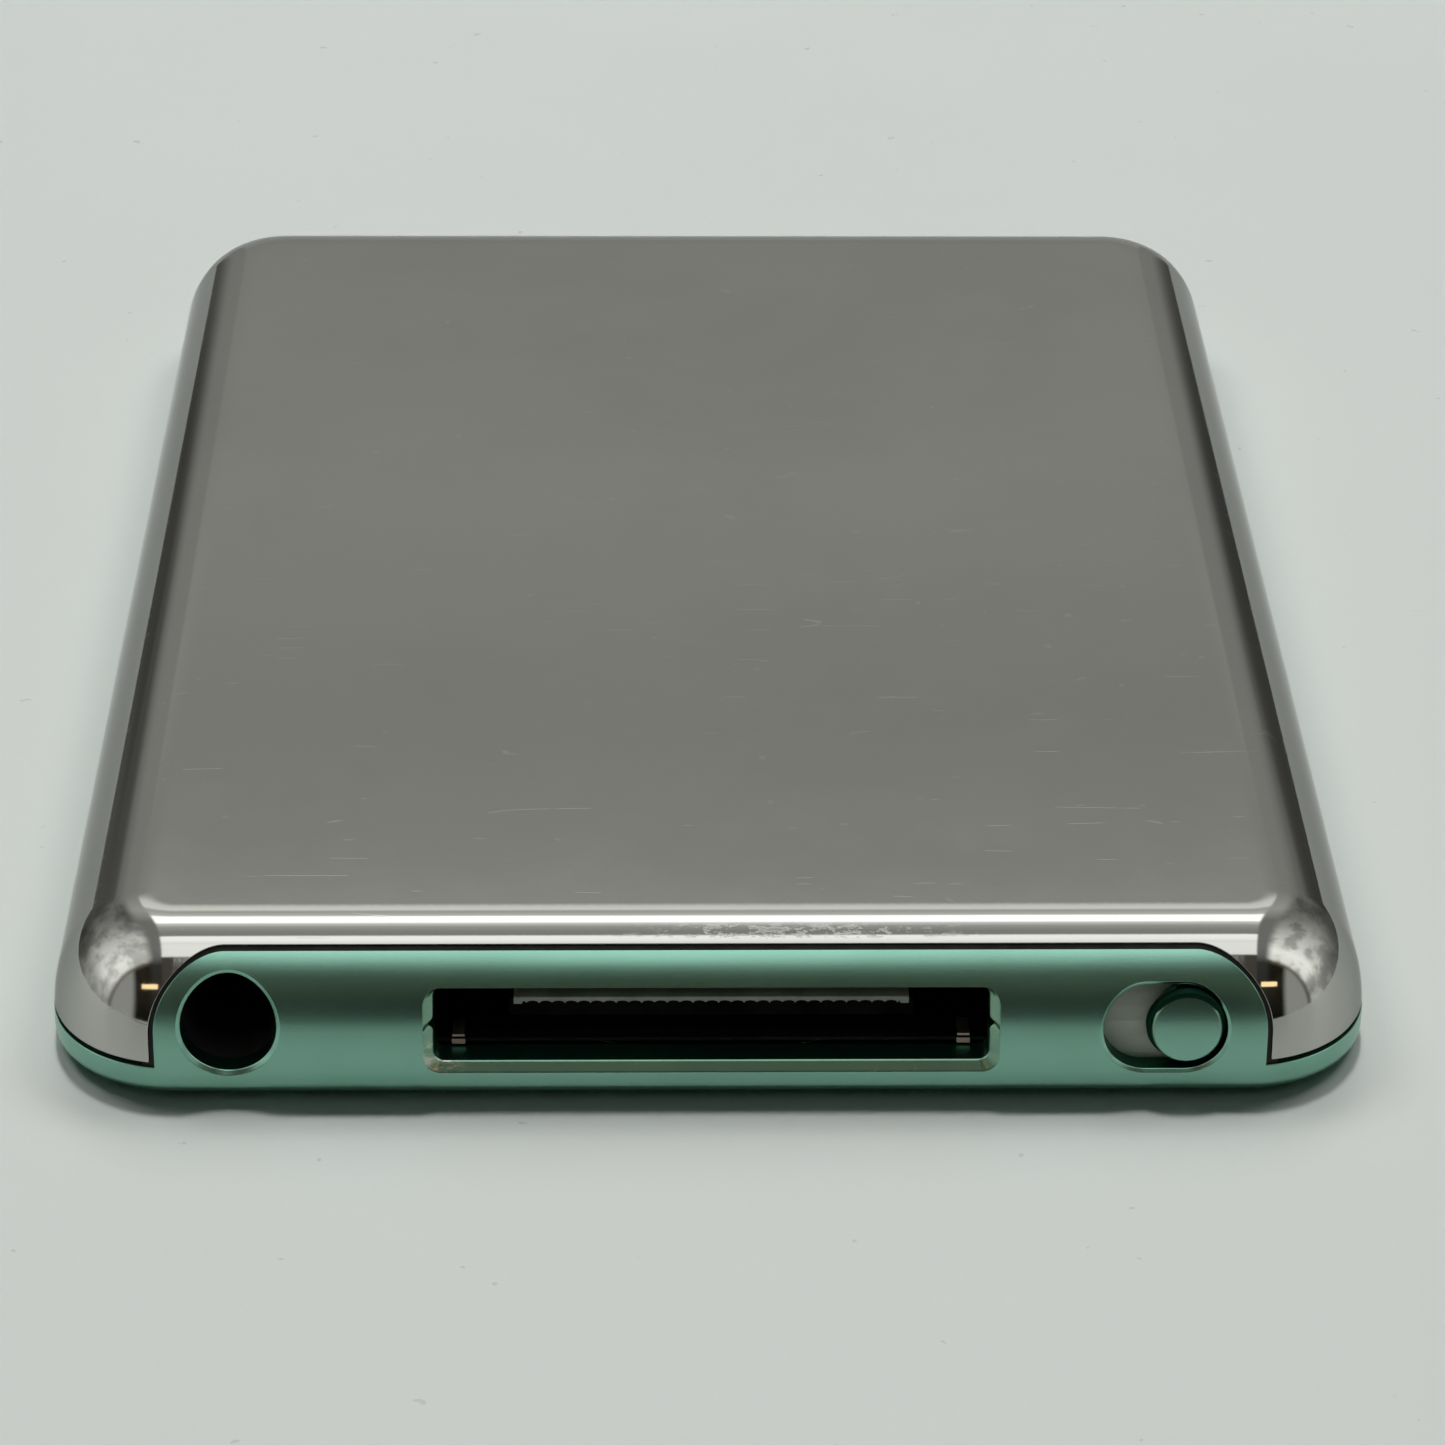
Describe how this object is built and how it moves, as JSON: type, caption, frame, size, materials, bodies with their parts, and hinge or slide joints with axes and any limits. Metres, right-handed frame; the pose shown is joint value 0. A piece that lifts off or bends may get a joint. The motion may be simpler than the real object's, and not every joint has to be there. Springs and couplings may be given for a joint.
{
  "type": "digital audio player",
  "caption": "Pocket audio player lying face down, with ports in a tongue of its front case, a sliding hold switch, rocking click wheel and centre button.",
  "frame": {"origin": "middle of the rectangle that the player covers, on the surface its face rests on", "axes": "the port edge faces -Y, the top edge faces +Y, the steel back faces +Z, and seen from above with the ports nearest the headphone hole is on the left at -X"},
  "size_m": [0.0522, 0.0698, 0.0065],
  "materials": {
    "front_case": "fine blasted anodised",
    "rear_cover": "polished with fine scratches",
    "seam_gasket": "matt",
    "cover_clips": "plain",
    "display_window": "gloss",
    "window_adhesive": "matt",
    "lcd_glass": "gloss",
    "lcd_light_guide": "satin",
    "lcd_tray": "plain",
    "display_flex": "satin",
    "display_connector": "matt",
    "midframe": "plain",
    "frame_screws": "blackened",
    "click_wheel": "satin",
    "wheel_sensor_disc": "solder mask",
    "wheel_gimbal_plate": "spring temper",
    "gimbal_anchors": "plain",
    "center_button": "satin",
    "button_plunger": "matt",
    "wheel_dome_board": "solder mask",
    "tactile_domes": "spring temper",
    "wheel_flex": "satin",
    "logic_board": "solder mask",
    "main_processor": "matt",
    "flash_memory": "matt",
    "audio_codec": "matt",
    "power_chip": "matt",
    "board_capacitors": "satin",
    "board_inductors": "matt",
    "shield_can": "tinned",
    "board_standoffs": "plain",
    "board_screws": "blackened",
    "battery_cell": "foil pouch",
    "battery_label": "plain film",
    "battery_leads": "satin",
    "battery_connector": "satin",
    "battery_foam": "foam",
    "dock_shell": "plated",
    "dock_housing": "matt",
    "dock_contacts": "plated",
    "dock_latches": "plated",
    "dock_terminals": "plated",
    "jack_body": "matt",
    "jack_contacts": "plated",
    "hold_slider": "fine blasted anodised",
    "hold_indicator": "satin",
    "hold_lock_mark": "satin",
    "hold_carriage": "matt",
    "hold_switch_body": "satin",
    "hold_switch_legs": "plated"
  },
  "bodies": {
    "player": {"front_case": "front_case", "rear_cover": "rear_cover", "seam_gasket": "seam_gasket", "cover_clips": "cover_clips", "display_window": "display_window", "window_adhesive": "window_adhesive", "lcd_glass": "lcd_glass", "lcd_light_guide": "lcd_light_guide", "lcd_tray": "lcd_tray", "display_flex": "display_flex", "display_connector": "display_connector", "midframe": "midframe", "frame_screws": "frame_screws", "gimbal_anchors": "gimbal_anchors", "wheel_dome_board": "wheel_dome_board", "tactile_domes": "tactile_domes", "wheel_flex": "wheel_flex", "logic_board": "logic_board", "main_processor": "main_processor", "flash_memory": "flash_memory", "audio_codec": "audio_codec", "power_chip": "power_chip", "board_capacitors": "board_capacitors", "board_inductors": "board_inductors", "shield_can": "shield_can", "board_standoffs": "board_standoffs", "board_screws": "board_screws", "battery_cell": "battery_cell", "battery_label": "battery_label", "battery_leads": "battery_leads", "battery_connector": "battery_connector", "battery_foam": "battery_foam", "dock_shell": "dock_shell", "dock_housing": "dock_housing", "dock_contacts": "dock_contacts", "dock_latches": "dock_latches", "dock_terminals": "dock_terminals", "jack_body": "jack_body", "jack_contacts": "jack_contacts", "hold_switch_body": "hold_switch_body", "hold_switch_legs": "hold_switch_legs"},
    "wheel_gimbal": {"wheel_gimbal_plate": "wheel_gimbal_plate"},
    "wheel": {"click_wheel": "click_wheel", "wheel_sensor_disc": "wheel_sensor_disc"},
    "select_button": {"center_button": "center_button", "button_plunger": "button_plunger"},
    "hold_switch": {"hold_slider": "hold_slider", "hold_indicator": "hold_indicator", "hold_lock_mark": "hold_lock_mark", "hold_carriage": "hold_carriage"}
  },
  "joints": [
    {"name": "hold_slide", "type": "slide", "parent": "player", "child": "hold_switch", "axis": [-1, 0, 0], "range_m": [0, 0.0017]},
    {"name": "button_press", "type": "slide", "parent": "player", "child": "select_button", "axis": [0, 0, 1], "range_m": [0, 0.00025], "stiffness_N_per_m": 150, "springref_m": -0.001},
    {"name": "wheel_rock_x", "type": "hinge", "parent": "player", "child": "wheel_gimbal", "pos_m": [0, -0.0185, 0.00124], "axis": [1, 0, 0], "range_deg": [-0.55, 0.55], "stiffness_Nm_per_rad": 0.02},
    {"name": "wheel_rock_y", "type": "hinge", "parent": "wheel_gimbal", "child": "wheel", "pos_m": [0, -0.0185, 0.00124], "axis": [0, 1, 0], "range_deg": [-0.55, 0.55], "stiffness_Nm_per_rad": 0.02}
  ]
}
